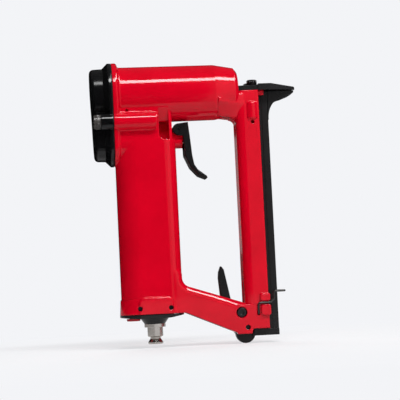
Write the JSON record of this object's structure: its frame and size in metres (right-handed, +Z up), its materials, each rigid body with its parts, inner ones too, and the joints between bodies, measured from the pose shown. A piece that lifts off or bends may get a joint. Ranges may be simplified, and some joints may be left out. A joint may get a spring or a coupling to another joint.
{
  "type": "pneumatic stapler",
  "caption": "Hand-held compressed-air stapler with a die-cast body, closed hand loop, trigger, rear cap and a sliding magazine beside the grip that opens at a thumb latch.",
  "frame": {"origin": "centre of the air nipple's free end, at the mouth of its bore", "axes": "+X the way the staple is driven, +Z up along the grip, +Y across the tool, away from the picture's viewer"},
  "size_m": [0.1476, 0.0468, 0.2048],
  "materials": {
    "red_enamel": "gloss",
    "black_enamel": "satin",
    "black_steel": "satin",
    "bright_steel": "polished",
    "tool_steel": "satin",
    "spring_steel": "satin",
    "bare_aluminium": "satin",
    "rubber": "matte",
    "brass": "satin",
    "red_plastic": "gloss"
  },
  "bodies": {
    "housing": {"main_housing": "red_enamel", "rear_cap": "black_enamel", "cap_gasket": "rubber", "cap_screws": "black_steel", "cylinder_sleeve": "bare_aluminium", "sleeve_seals": "rubber", "piston_bumper": "rubber", "driver_guide": "tool_steel", "head_valve_spring": "spring_steel", "trigger_pin": "black_steel", "valve_bush": "brass", "valve_spring": "spring_steel", "end_plug": "black_enamel", "end_plug_ring": "rubber", "end_plug_pins": "black_steel", "blanking_plug": "red_plastic", "air_nipple": "bright_steel", "nose_plate": "black_steel", "nose_screws": "black_steel", "crown_guide": "tool_steel", "latch_spring": "spring_steel", "latch_screw": "black_steel", "latch_stop_pin": "black_steel", "keeper_wire": "spring_steel"},
    "piston_group": {"piston": "bare_aluminium", "piston_ring": "rubber", "driver_blade": "tool_steel", "driver_pin": "bright_steel"},
    "head_valve_group": {"head_valve": "bare_aluminium", "head_valve_face": "rubber", "head_valve_ring": "rubber"},
    "trigger_lever": {"trigger": "black_steel"},
    "stem_group": {"valve_stem": "bright_steel", "stem_ring": "rubber"},
    "magazine": {"magazine_channel": "black_steel", "magazine_rail": "tool_steel", "magazine_nose": "black_steel", "magazine_end_bar": "black_steel", "end_bar_pin": "bright_steel", "pusher_spring": "spring_steel"},
    "pusher_group": {"pusher": "tool_steel"},
    "latch": {"latch_lever": "black_steel"}
  },
  "joints": [
    {"name": "trigger_pull", "type": "hinge", "parent": "housing", "child": "trigger_lever", "pos_m": [0.0229, 0, 0.1522], "axis": [0, 1, 0], "range_deg": [0, 14], "stiffness_Nm_per_rad": 0.25, "springref_deg": -17.19},
    {"name": "valve_stem_slide", "type": "slide", "parent": "housing", "child": "stem_group", "axis": [-1, 0, 0], "range_m": [0, 0.002], "deforming": ["valve_spring"]},
    {"name": "piston_stroke", "type": "slide", "parent": "housing", "child": "piston_group", "axis": [1, 0, 0], "range_m": [0, 0.04]},
    {"name": "head_valve_lift", "type": "slide", "parent": "housing", "child": "head_valve_group", "axis": [-1, 0, 0], "range_m": [0, 0.0035], "stiffness_N_per_m": 2000, "springref_m": -0.004, "deforming": ["head_valve_spring"]},
    {"name": "magazine_slide", "type": "slide", "parent": "housing", "child": "magazine", "axis": [0, 0, -1], "range_m": [0, 0.134]},
    {"name": "pusher_slide", "type": "slide", "parent": "magazine", "child": "pusher_group", "axis": [0, 0, -1], "range_m": [0, 0.105], "stiffness_N_per_m": 30, "springref_m": -0.25, "deforming": ["pusher_spring"]},
    {"name": "latch_swing", "type": "hinge", "parent": "housing", "child": "latch", "pos_m": [0.0613, 0, 0.0195], "axis": [0, 1, 0], "range_deg": [0, 18], "stiffness_Nm_per_rad": 0.12, "springref_deg": -22.92}
  ],
  "couplings": [
    {"joint": "valve_stem_slide", "follows": "trigger_pull", "m_per_rad": 0.0081}
  ]
}
